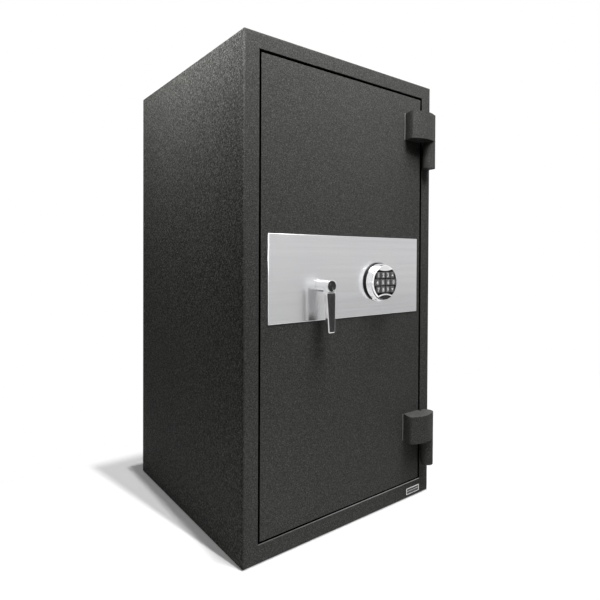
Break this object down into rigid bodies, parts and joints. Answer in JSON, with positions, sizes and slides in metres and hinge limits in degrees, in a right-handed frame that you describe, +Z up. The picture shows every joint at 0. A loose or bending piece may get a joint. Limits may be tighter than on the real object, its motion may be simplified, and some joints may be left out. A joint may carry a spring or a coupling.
{
  "type": "burglary safe",
  "caption": "Tall steel safe with a filled body, one hinged door, lever-driven locking bolts, electronic keypad and adjustable shelves.",
  "frame": {"origin": "centre of the body's footprint, on the floor", "axes": "+Z up, -Y out of the door's face, +X towards the hinges"},
  "size_m": [0.677, 0.7134, 1.265],
  "materials": {
    "body_paint": "matte textured powder coat",
    "frame_paint": "matte",
    "liner_paint": "satin",
    "barrier": "matte",
    "seal_rubber": "matte",
    "zinc_steel": "satin",
    "hinge_steel": "satin",
    "bronze": "satin",
    "rating_foil": "satin",
    "works_paint": "satin",
    "cover_paint": "satin",
    "hard_steel": "satin",
    "fascia_steel": "satin",
    "bolt_steel": "polished",
    "lock_zinc": "satin",
    "lock_brass": "satin",
    "base_plastic": "matte",
    "dome_chrome": "polished",
    "pad_rubber": "matte",
    "key_rubber": "matte",
    "board_green": "satin",
    "battery_case": "gloss",
    "cable_jacket": "matte",
    "lever_chrome": "polished",
    "cap_black": "gloss"
  },
  "bodies": {
    "cabinet": {"outer_shell": "body_paint", "back_plate": "body_paint", "front_frame": "frame_paint", "bolt_channel": "frame_paint", "barrier_fill": "barrier", "inner_liner": "liner_paint", "fire_seal": "seal_rubber", "anchor_sleeves": "zinc_steel", "shelf_standards": "zinc_steel", "shelf_clips": "zinc_steel", "shelves": "liner_paint", "hinge_knuckle_upper": "body_paint", "hinge_knuckle_lower": "body_paint", "hinge_pins": "hinge_steel", "hinge_washers": "bronze", "rating_plate": "rating_foil"},
    "door": {"door_plate": "body_paint", "hinge_block_upper": "body_paint", "hinge_block_lower": "body_paint", "hinge_plates": "body_paint", "door_fill": "barrier", "cover_screws": "zinc_steel", "lock_screws": "zinc_steel", "keypad_screws": "zinc_steel", "handle_bush": "bronze", "door_pan": "works_paint", "bolt_frame": "works_paint", "bolt_guide_rail": "works_paint", "rear_cover": "cover_paint", "hard_plate": "hard_steel", "fascia_panel": "fascia_steel", "dead_bar": "bolt_steel", "lock_case": "lock_zinc", "keypad_base": "base_plastic", "keypad_housing": "dome_chrome", "keypad_pad": "pad_rubber", "keypad_board": "board_green", "keypad_cable": "cable_jacket"},
    "handle": {"handle_lever": "lever_chrome", "handle_cap": "cap_black", "handle_spindle": "hinge_steel", "crank_disc": "hinge_steel"},
    "bolt_carriage": {"bolt_bar": "works_paint", "locking_bolts": "bolt_steel", "bolt_screws": "zinc_steel"},
    "lock_bolt": {"lock_bolt": "lock_brass"},
    "battery_tray": {"battery_drawer": "dome_chrome", "battery": "battery_case"},
    "key_1": {"key_1": "key_rubber"},
    "key_2": {"key_2": "key_rubber"},
    "key_3": {"key_3": "key_rubber"},
    "key_up": {"key_up": "key_rubber"},
    "key_4": {"key_4": "key_rubber"},
    "key_5": {"key_5": "key_rubber"},
    "key_6": {"key_6": "key_rubber"},
    "key_0": {"key_0": "key_rubber"},
    "key_7": {"key_7": "key_rubber"},
    "key_8": {"key_8": "key_rubber"},
    "key_9": {"key_9": "key_rubber"},
    "key_down": {"key_down": "key_rubber"}
  },
  "joints": [
    {"name": "door_swing", "type": "hinge", "parent": "cabinet", "child": "door", "pos_m": [0.3, -0.3565, 0.6], "axis": [0, 0, 1], "range_deg": [0, 170]},
    {"name": "handle_turn", "type": "hinge", "parent": "door", "child": "handle", "pos_m": [-0.108, -0.3305, 0.661], "axis": [0, 1, 0], "range_deg": [0, 75]},
    {"name": "bolt_throw", "type": "slide", "parent": "door", "child": "bolt_carriage", "axis": [-1, 0, 0], "range_m": [0, 0.028]},
    {"name": "lock_bolt_slide", "type": "slide", "parent": "door", "child": "lock_bolt", "axis": [0, 0, 1], "range_m": [0, 0.009]},
    {"name": "battery_drawer_slide", "type": "slide", "parent": "door", "child": "battery_tray", "axis": [0, 0, -1], "range_m": [0, 0.04]},
    {"name": "key_1_press", "type": "slide", "parent": "door", "child": "key_1", "axis": [0, 1, 0], "range_m": [0, 0.001], "stiffness_N_per_m": 1500},
    {"name": "key_2_press", "type": "slide", "parent": "door", "child": "key_2", "axis": [0, 1, 0], "range_m": [0, 0.001], "stiffness_N_per_m": 1500},
    {"name": "key_3_press", "type": "slide", "parent": "door", "child": "key_3", "axis": [0, 1, 0], "range_m": [0, 0.001], "stiffness_N_per_m": 1500},
    {"name": "key_up_press", "type": "slide", "parent": "door", "child": "key_up", "axis": [0, 1, 0], "range_m": [0, 0.001], "stiffness_N_per_m": 1500},
    {"name": "key_4_press", "type": "slide", "parent": "door", "child": "key_4", "axis": [0, 1, 0], "range_m": [0, 0.001], "stiffness_N_per_m": 1500},
    {"name": "key_5_press", "type": "slide", "parent": "door", "child": "key_5", "axis": [0, 1, 0], "range_m": [0, 0.001], "stiffness_N_per_m": 1500},
    {"name": "key_6_press", "type": "slide", "parent": "door", "child": "key_6", "axis": [0, 1, 0], "range_m": [0, 0.001], "stiffness_N_per_m": 1500},
    {"name": "key_0_press", "type": "slide", "parent": "door", "child": "key_0", "axis": [0, 1, 0], "range_m": [0, 0.001], "stiffness_N_per_m": 1500},
    {"name": "key_7_press", "type": "slide", "parent": "door", "child": "key_7", "axis": [0, 1, 0], "range_m": [0, 0.001], "stiffness_N_per_m": 1500},
    {"name": "key_8_press", "type": "slide", "parent": "door", "child": "key_8", "axis": [0, 1, 0], "range_m": [0, 0.001], "stiffness_N_per_m": 1500},
    {"name": "key_9_press", "type": "slide", "parent": "door", "child": "key_9", "axis": [0, 1, 0], "range_m": [0, 0.001], "stiffness_N_per_m": 1500},
    {"name": "key_down_press", "type": "slide", "parent": "door", "child": "key_down", "axis": [0, 1, 0], "range_m": [0, 0.001], "stiffness_N_per_m": 1500}
  ],
  "couplings": [
    {"joint": "bolt_throw", "follows": "handle_turn", "m_per_rad": 0.02139}
  ]
}
